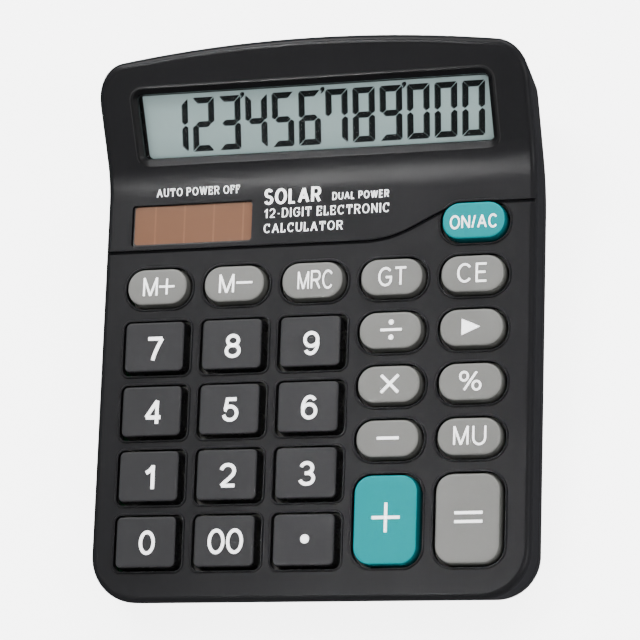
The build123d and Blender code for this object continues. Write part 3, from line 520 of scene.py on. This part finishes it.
# Where short bars end the stems of a serifed letter, as (x, y)
FEET = {
    "1": [(1, 0)], "A": [(0, 0), (1, 0)], "D": [(0, 0), (0, 1)], "E": [(0, 0), (0, 1)], "F": [(0, 0), (0, 1)],
    "I": [(0, 0), (0, 1)], "L": [(0, 0), (0, 1)], "N": [(0, 0), (0, 1), (1, 1)], "P": [(0, 0), (0, 1)],
    "R": [(0, 0), (0, 1), (1, 0)], "T": [(0.5, 0)], "U": [(0, 1), (1, 1)], "W": [(0, 1), (1, 1), (0.5, 1)],
}
# Short upright ticks at the ends of arms, as (x, y, direction)
TICKS = {"E": [(1, 1, -1), (1, 0, 1)], "F": [(1, 1, -1)], "L": [(1, 0, 1)], "T": [(0, 1, -1), (1, 1, -1)],
         "C": [(0.92, 0.98, -1)], "G": [(0.92, 0.98, -1)], "S": [(0.88, 0.98, -1)]}


# Below this squared length, the mean of two unit normals marks a turn too sharp for a mitre
SHARP_TURN = 0.36


def stroke(points, pen_x, pen_y):
    """A ribbon along a centre line, as wide as the pen, cut in two where the line turns back sharply."""
    closed = math.dist(points[0], points[-1]) < 1e-6
    line = [p for i, p in enumerate(points) if i == 0 or math.dist(p, points[i - 1]) > 1e-6]
    line = line[:-1] if closed else line
    count, edge = len(line), []
    for i, here in enumerate(line):
        before = line[i - 1] if i or closed else None
        after = line[(i + 1) % count] if i < count - 1 or closed else None
        ways = []
        for a, b in ((before, here), (here, after)):
            if a is not None and b is not None:
                long = math.dist(a, b)
                ways.append(((a[1] - b[1]) / long, (b[0] - a[0]) / long))
        nx, ny = sum(w[0] for w in ways) / len(ways), sum(w[1] for w in ways) / len(ways)
        square = nx * nx + ny * ny
        if square < SHARP_TURN and not closed:
            return merged(stroke(line[:i + 1], pen_x, pen_y), stroke(line[i:], pen_x, pen_y))
        nx, ny = nx / square * pen_x / 2, ny / square * pen_y / 2
        edge += [(here[0] + nx, here[1] + ny), (here[0] - nx, here[1] - ny)]
    ends = [(i, (i + 1) % count) for i in range(count if closed else count - 1)]
    return edge, [(2 * i, 2 * i + 1, 2 * j + 1, 2 * j) for i, j in ends]


def lettering(text, height, pen, thin=None, serif=0.0, gap=0.2):
    """A line of letters of a cap height. A thin pen for level strokes and serifs give a bookish face."""
    thin = thin or pen
    shapes, x = [], 0.0
    for ch in text:
        if ch == " ":
            x += height * 0.42
            continue
        wide, lines = GLYPHS[ch]
        wide = max(wide * height - pen, 0.0)
        tall = height - thin
        for line in lines:
            fit = [(x + pen / 2 + u * wide, thin / 2 + v * tall) for u, v in line]
            shapes.append(stroke(fit, pen, thin))
        if serif:
            for u, v in FEET.get(ch, []):
                cx, cy = x + pen / 2 + u * wide, thin / 2 + v * tall
                shapes.append(stroke([(cx - serif, cy), (cx + serif, cy)], thin, thin))
            for u, v, way in TICKS.get(ch, []):
                cx, cy = x + pen / 2 + u * wide, thin / 2 + v * tall
                tick = [(cx, cy - way * thin / 2), (cx, cy + way * height * 0.26)]
                shapes.append(stroke(tick, thin * 1.3, thin))
        x += wide + pen + gap * height + serif / 2
    return merged(*shapes)


def fitted(shape, width, height, centre):
    """A flat shape scaled to a width and height and moved to a centre."""
    points, faces = shape
    xs, ys = [p[0] for p in points], [p[1] for p in points]
    sx, sy = width / (max(xs) - min(xs)), height / (max(ys) - min(ys))
    mx, my = (max(xs) + min(xs)) / 2, (max(ys) + min(ys)) / 2
    return [((x - mx) * sx + centre[0], (y - my) * sy + centre[1]) for x, y in points], faces


def merged(*shapes):
    """Flat shapes, each a list of points and a list of faces, as one."""
    points, faces = [], []
    for p, f in shapes:
        faces += [tuple(i + len(points) for i in face) for face in f]
        points += p
    return points, faces


def disc(x, y, r):
    points = arc(x, y, r, r, 0, 360, 28)[:-1]
    return points, [tuple(range(len(points)))]


def bar(x, y, w, h, turn=0.0):
    """A bar split into six along its length, turned about its centre."""
    c, s = math.cos(math.radians(turn)), math.sin(math.radians(turn))
    steps = [(i / 6 - 0.5) * w for i in range(7)]
    return stroke([(x + step * c, y + step * s) for step in steps], h, h)


INK_LIFT = 0.004


def print_on(name, shape, matrix, surface, body, material, thickness=0.03):
    """Ink of a small thickness laid over a surface given as a height function."""
    points, faces = shape
    mesh = bpy.data.meshes.new(name)
    made = bmesh.new()
    corners = [made.verts.new((x, y, 0.0)) for x, y in points]
    for f in faces:
        flat = made.faces.new([corners[i] for i in f])
        flat.normal_update()
        if flat.normal.z < 0:
            flat.normal_flip()
    grown = bmesh.ops.extrude_face_region(made, geom=list(made.faces))
    top = {v for v in grown["geom"] if isinstance(v, bmesh.types.BMVert)}
    for v in made.verts:
        v.co.z = surface(v.co.x, v.co.y) + (INK_LIFT + thickness if v in top else INK_LIFT)
    bmesh.ops.recalc_face_normals(made, faces=made.faces)
    made.transform(matrix)
    made.to_mesh(mesh)
    made.free()
    return piece(name, mesh, body, [material])


def caps(text, width, height, pen, at, gap=0.2):
    """Plain lettering that fills a width and a height about a centre."""
    return fitted(lettering(text, height, pen, gap=gap), width, height, at)


LEGENDS = {
    "key_double_zero": caps("00", 9.6, 6.6, 0.88, (0.4, -0.1), 0.07),
    "key_decimal": disc(0.3, 0.2, 1.15),
    "key_memory_plus": merged(
        caps("M", 4.1, 5.1, 0.56, (-1.85, 0.1)), bar(2.75, 0.0, 4.3, 0.54), bar(2.75, 0.0, 4.3, 0.54, 90)
    ),
    "key_memory_minus": merged(caps("M", 4.2, 5.1, 0.56, (-2.0, 0.1)), bar(2.9, 0.2, 4.4, 0.54)),
    "key_memory_recall": caps("MRC", 9.4, 5.1, 0.54, (0.8, 0.1), 0.14),
    "key_grand_total": caps("GT", 7.4, 5.1, 0.56, (0.2, 0.1), 0.12),
    "key_clear_entry": caps("CE", 7.7, 5.1, 0.56, (-0.1, 0.2)),
    "key_mark_up": caps("MU", 8.6, 5.1, 0.54, (0.25, 0.2)),
    "key_percent": caps("%", 5.9, 5.2, 0.52, (0.1, 0.2)),
    "key_divide": merged(bar(0.3, 0.15, 5.7, 0.66), disc(0.3, 2.15, 0.66), disc(0.3, -1.85, 0.66)),
    "key_multiply": merged(bar(0.3, 0.1, 6.4, 0.78, 45), bar(0.3, 0.1, 6.4, 0.78, -45)),
    "key_subtract": bar(0.2, 0.1, 5.8, 0.72),
    "key_backspace": ([(-2.5, 2.3), (-2.5, -2.0), (2.4, 0.15)], [(0, 1, 2)]),
    "key_all_clear": caps("ON/AC", 12.4, 3.7, 0.5, (0.0, -0.4), 0.13),
    "key_add": merged(bar(0.2, 0.5, 7.4, 0.8), bar(0.2, 0.5, 7.6, 0.8, 90)),
    "key_equals": merged(bar(0.35, 1.35, 7.3, 0.74), bar(0.35, -0.9, 7.3, 0.74)),
}
for digit in "0123456789":
    wide = 2.6 if digit == "1" else 4.4
    drop = -0.5 if digit in "789" else -0.15
    LEGENDS["key_" + digit] = caps(digit, wide, 6.4, 0.92, (0.35, drop))
for name, (kind, x, v) in PLACES.items():
    place = DECK @ Matrix.Translation((x, v, 0))
    print_on("legend_" + name[4:], LEGENDS[name], place,
             lambda px, py, k=kind: KEY_RISE + crown_height(k, px, py), name, GLOWING_INK)


def deck_rise(x, v):
    """Height of the case above the deck plane, which turns up into the hood."""
    start = FOLD_V - FOLD_RADIUS * math.tan(math.radians(PANEL_TILT / 2))
    return 0.0 if v <= start else FOLD_RADIUS - math.sqrt(FOLD_RADIUS**2 - (v - start) ** 2)


def printed_line(name, shape, left, right, low, high):
    """A line of print on the case that fills a box on the deck."""
    shape = fitted(shape, right - left, high - low, ((left + right) / 2, (low + high) / 2))
    print_on(name, shape, DECK, deck_rise, "case", GLOWING_INK, 0.02)


printed_line("print_power", lettering("AUTO POWER OFF", 2.1, 0.31, 0.2, 0.2, 0.2), -45.0, -21.6, 67.45, 69.6)
printed_line("print_type", lettering("SOLAR", 4.3, 0.86, 0.6, 0.0, 0.13), -14.6, 1.0, 63.8, 68.1)
printed_line("print_supply", lettering("DUAL POWER", 2.2, 0.36, 0.32, 0.0, 0.2), 4.2, 19.6, 64.2, 66.3)
digits_line = lettering("12-DIGIT ELECTRONIC", 2.5, 0.37, 0.21, 0.2, 0.2)
printed_line("print_digits", digits_line, -14.5, 19.7, 60.2, 62.7)
printed_line("print_kind", lettering("CALCULATOR", 2.4, 0.37, 0.21, 0.2, 0.2), -14.5, 7.2, 56.1, 58.55)


# ---------------------------------------------------------------- display
DIGIT_PITCH, DIGIT_FIRST, DIGIT_V = 7.41, -38.4, 14.27
DIGIT_W, DIGIT_H, STROKE, GAP, SLANT = 5.9, 14.4, 1.5, 0.15, 0.095
COMMAS_AFTER, COMMA_REACH = (2, 5, 8), 4.35
COMMA = [(-0.45, 0.75), (0.25, 0.85), (0.5, 0.45), (0.35, -0.1), (-0.35, -0.8), (-0.55, -0.7), (-0.2, -0.1),
         (-0.55, 0.1)]
# The segments that each digit lights, lettered clockwise from the top, with g in the middle
SEGMENTS = {
    "0": "abcdef", "1": "bc", "2": "abged", "3": "abgcd", "4": "fgbc",
    "5": "afgcd", "6": "afgedc", "7": "fabc", "8": "abcdefg", "9": "abcdfg",
}


def segment(which):
    """One mitred segment of a seven-segment digit, about the digit's centre."""
    w, h, t, g = DIGIT_W / 2, DIGIT_H / 2, STROKE, GAP
    if which in "ad":
        s = 1 if which == "a" else -1
        outer, inner = w - g * 1.4, w - t - g * 0.4
        return [(-outer, s * h), (outer, s * h), (inner, s * (h - t)), (-inner, s * (h - t))]
    if which == "g":
        k = t / 2
        tip, shoulder = w - k - g, w - t - g
        return [(-tip, 0), (-shoulder, k), (shoulder, k), (tip, 0), (shoulder, -k), (-shoulder, -k)]
    x = 1 if which in "bc" else -1
    y = 1 if which in "bf" else -1
    k = t / 2
    return [(x * w, y * (h - g * 1.4)), (x * (w - t), y * (h - t - g)), (x * (w - t), y * (k + g)),
            (x * (w - k), y * g), (x * w, y * (k * 0.7 + g))]


def number_shape(text):
    """The lit segments of a number, and its raised commas."""
    shapes = []
    for i, ch in enumerate(text):
        cx = DIGIT_FIRST + DIGIT_PITCH * i
        for which in SEGMENTS[ch]:
            points = [(cx + x + y * SLANT, DIGIT_V + y) for x, y in segment(which)]
            shapes.append((points, [tuple(range(len(points)))]))
        if i in COMMAS_AFTER:
            points = [(cx + COMMA_REACH + x, DIGIT_V + DIGIT_H / 2 - 0.1 + y) for x, y in COMMA]
            shapes.append((points, [tuple(range(len(points)))]))
    return merged(*shapes)


number = number_shape("123456789000")
print_on("lcd_digits", number, PANEL, lambda x, y: LCD_TOP + 0.045, "case", SEGMENT, 0.02)

# The segments' shadow on the film below them, a little to the left and lower
shade = Shader("lcd_shadow")
shade_color = shade.mix(shade.remap(shade.noise(2.0), 0.0, 1.0), linear((60, 68, 68)), linear((66, 75, 75)))
SHADE = shade.set(Alpha=0.42).finish(shade_color, 0.6)
soft_number = ([(x - 0.28, y - 0.16) for x, y in number[0]], number[1])
print_on("lcd_digit_shadows", soft_number, PANEL, lambda x, y: LCD_TOP + 0.012, "case", SHADE, 0.014)


def window_ring(name, sizes, material, shift=(0.0, 0.0)):
    """A ring round the window through sizes of width, length, corner and height, sliding as it goes."""
    rings = []
    for k, (w, h, r, z) in enumerate(sizes):
        dx, dy = (value * k / (len(sizes) - 1) for value in shift)
        rings.append([(x + dx, y + dy + WINDOW_CENTRE, z) for x, y in rounded(w / 2, h / 2, r)])
    piece(name, lofted(rings, PANEL, False, False), "case", [material])


def between(outer, inner, steps):
    """Sizes in even steps from the outer one to the inner one."""
    return [tuple(a + (b - a) * k / steps for a, b in zip(outer, inner)) for k in range(steps + 1)]


lip = [
    (99.7, 21.9, 3.6, 0.004), (99.4, 21.6, 3.45, 0.09), (99.1, 21.3, 3.3, 0.12),
    (98.8, 21.0, 3.15, 0.12), (98.5, 20.7, 3.0, 0.07), (98.3, 20.5, 2.9, 0.0),
]
mask = [(97.0, 19.8, 1.5, MASK_HEIGHT), (95.4, 17.9, 1.3, MASK_HEIGHT)]
window_ring("window_mask", mask, BLACK_MASK_AND_SHADE, (0.35, 0.0))
window_ring("bezel_face", between((98.3, 20.5, 2.9, 0.012), (96.4, 17.7, 1.3, -0.6), 4), BEZEL)
window_ring("bezel_wall", between((96.3, 17.6, 1.3, -0.62), (96.0, 17.0, 1.2, -1.46), 3), BLACK_MASK_AND_SHADE, (0.0, -0.2))
window_ring("bezel_lip", lip, BEZEL)
# A flat black ring round the lip: a painted shadow line standing in for the shade of the gap round the window
window_ring("bezel_shadow_line", [(100.3, 22.5, 3.9, 0.008), (99.7, 21.9, 3.6, 0.008)], BLACK_MASK_AND_SHADE)


def sheet(name, plane, centre, size, corner, height, material):
    """A thin rounded sheet, finely divided so that its faces stay small."""
    hx, hy = size[0] / 2, size[1] / 2
    rings = []
    for t in (0.25, 0.5, 0.75, 0.97, 1.0):
        z = height + (0.02 if t < 1.0 else 0.0)
        rings.append([(x + centre[0], y + centre[1], z) for x, y in rounded(hx * t, hy * t, corner * t)])
    piece(name, lofted(rings, plane, True, False), "case", [material])


def curve(a, b, start_way, end_way, steps):
    """Points of the cubic that leaves one point and nears another along given ways, without the last."""
    pull = math.dist(a, b)
    points = []
    for i in range(steps):
        t = i / steps
        h = (2 * t**3 - 3 * t**2 + 1, t**3 - 2 * t**2 + t, 3 * t**2 - 2 * t**3, t**3 - t**2)
        parts = zip(a, start_way, b, end_way)
        points.append(tuple(p * h[0] + u * pull * h[1] + q * h[2] + w * pull * h[3] for p, u, q, w in parts))
    return points


def groove_line():
    """Centre line of the groove across the deck: level, an S-shaped climb, level again."""
    (x0, v0), (x1, v1) = GROOVE_START, GROOVE_END
    middle = ((x0 + x1) / 2, (v0 + v1) / 2)
    level, climb = Vector((1, 0)), Vector((x1 - x0, (v1 - v0) * GROOVE_STEEPNESS)).normalized()
    reach = GROOVE_SHADE_REACH
    points = [(-reach + (x0 + reach) * i / 20, v0) for i in range(20)]
    points += curve(GROOVE_START, middle, level, climb, 14) + curve(middle, GROOVE_END, climb, level, 14)
    return points + [(x1 + (reach - x1) * i / 6, v1) for i in range(7)]


groove_ribbon = stroke(groove_line(), GROOVE_SHADE_WIDTH, GROOVE_SHADE_WIDTH)
print_on("groove_shade", groove_ribbon, DECK, lambda x, v: deck_rise(x, v) - GROOVE_SHADE_DEPTH, "case",
         SHADOW_LINE)
film_centre = (SOLAR_CENTRE[0] + 0.12, SOLAR_CENTRE[1] + 0.15)
# A black sheet a little larger than the cell film, so that a dark border shows round it: painted shade at the
# edge of the solar recess
sheet("solar_recess_shade", DECK, SOLAR_CENTRE, (33.7, 11.0), 0.8, -0.79, BLACK_MASK_AND_SHADE)
sheet("solar_film", DECK, film_centre, (32.9, 10.4), 0.8, -0.74, MATERIALS["solar_cell"])


# ---------------------------------------------------------------- stage, light and camera
floor_shader = Shader("paper_floor")
clouds = floor_shader.remap(floor_shader.noise(30.0, 3.0), 0.0, 1.0)
paper = floor_shader.mix(clouds, linear((243, 243, 243)), linear((247, 247, 247)))
floor_shader.set(Emission_Strength=5.0, Emission_Color=WHITE)
FLOOR = floor_shader.finish(paper, 0.9, floor_shader.bump(floor_shader.noise(0.8, 3.0), 0.01))
mesh = bpy.data.meshes.new("floor")
half = 3.0
mesh.from_pydata([(-half, -half, 0), (half, -half, 0), (half, half, 0), (-half, half, 0)], [], [(0, 1, 2, 3)])
floor = bpy.data.objects.new("floor", mesh)
bpy.context.scene.collection.objects.link(floor)
mesh.materials.append(FLOOR)
floor.visible_glossy = False

# Sky that is bright overhead and dim at the horizon
world = bpy.data.worlds.new("studio")
bpy.context.scene.world = world
world.use_nodes = True
sky = world.node_tree
way = sky.nodes.new("ShaderNodeTexCoord")
split = sky.nodes.new("ShaderNodeSeparateXYZ")
ramp = sky.nodes.new("ShaderNodeMapRange")
ramp.interpolation_type = "SMOOTHSTEP"
ramp.inputs["From Min"].default_value = -0.1
ramp.inputs["From Max"].default_value = 0.9
ramp.inputs["To Min"].default_value = 0.05
ramp.inputs["To Max"].default_value = 0.75
sky.links.new(way.outputs["Generated"], split.inputs[0])
sky.links.new(split.outputs["Z"], ramp.inputs["Value"])
sky.links.new(ramp.outputs["Result"], sky.nodes["Background"].inputs["Strength"])
sky.nodes["Background"].inputs["Color"].default_value = WHITE


def softbox(name, place, aim, size, power):
    """A rectangular lamp at a place, turned towards a point, in metres and watts."""
    data = bpy.data.lights.new(name, "AREA")
    data.shape = "RECTANGLE"
    data.size, data.size_y = size
    data.energy = power
    lamp = bpy.data.objects.new(name, data)
    bpy.context.scene.collection.objects.link(lamp)
    lamp.location = place
    lamp.rotation_mode = "QUATERNION"
    lamp.rotation_quaternion = (Vector(aim) - Vector(place)).to_track_quat("-Z", "Y")
    return lamp


softbox("key_light", (-0.6, 0.9, 1.3), (0, 0, 0), (0.7, 0.7), 22.5)
softbox("back_light", (0.35, 0.85, 0.6), (0, 0, 0), (0.8, 0.4), 7.0)
softbox("side_light", (0.9, -0.2, 0.6), (0, 0, 0), (0.4, 0.4), 3.0)
# A narrow lamp for the sheen along the fold only
fold_light = softbox("fold_light", (-0.36, -0.12, 1.12), (0.02, 0.04, 0.02), (0.34, 0.05), 0.095)
fold_light.data.spread = math.radians(12)
fold_light.visible_diffuse = False
softbox("panel_light", (-0.18, -0.34, 0.44), (0, 0.065, 0.035), (0.2, 0.05), 0.1)

# Focal length and frame in pixels, and the sensor in millimetres
LENS_PX, FRAME_PX, SENSOR = 2948.0, 640.0, 36.0
data = bpy.data.cameras.new("camera")
data.sensor_width = SENSOR
data.lens = LENS_PX / FRAME_PX * SENSOR
data.clip_start, data.clip_end = 0.05, 20.0
camera = bpy.data.objects.new("camera", data)
bpy.context.scene.collection.objects.link(camera)
right = Vector((0.95414, 0.05282, -0.29467))
up = Vector((0.03713, 0.95583, 0.29157))
back = right.cross(up).normalized()
right = up.cross(back).normalized()
camera.matrix_world = Matrix((
    (right.x, up.x, back.x, 0.22953),
    (right.y, up.y, back.y, -0.22069),
    (right.z, up.z, back.z, 0.71455),
    (0, 0, 0, 1),
))
bpy.context.scene.camera = camera
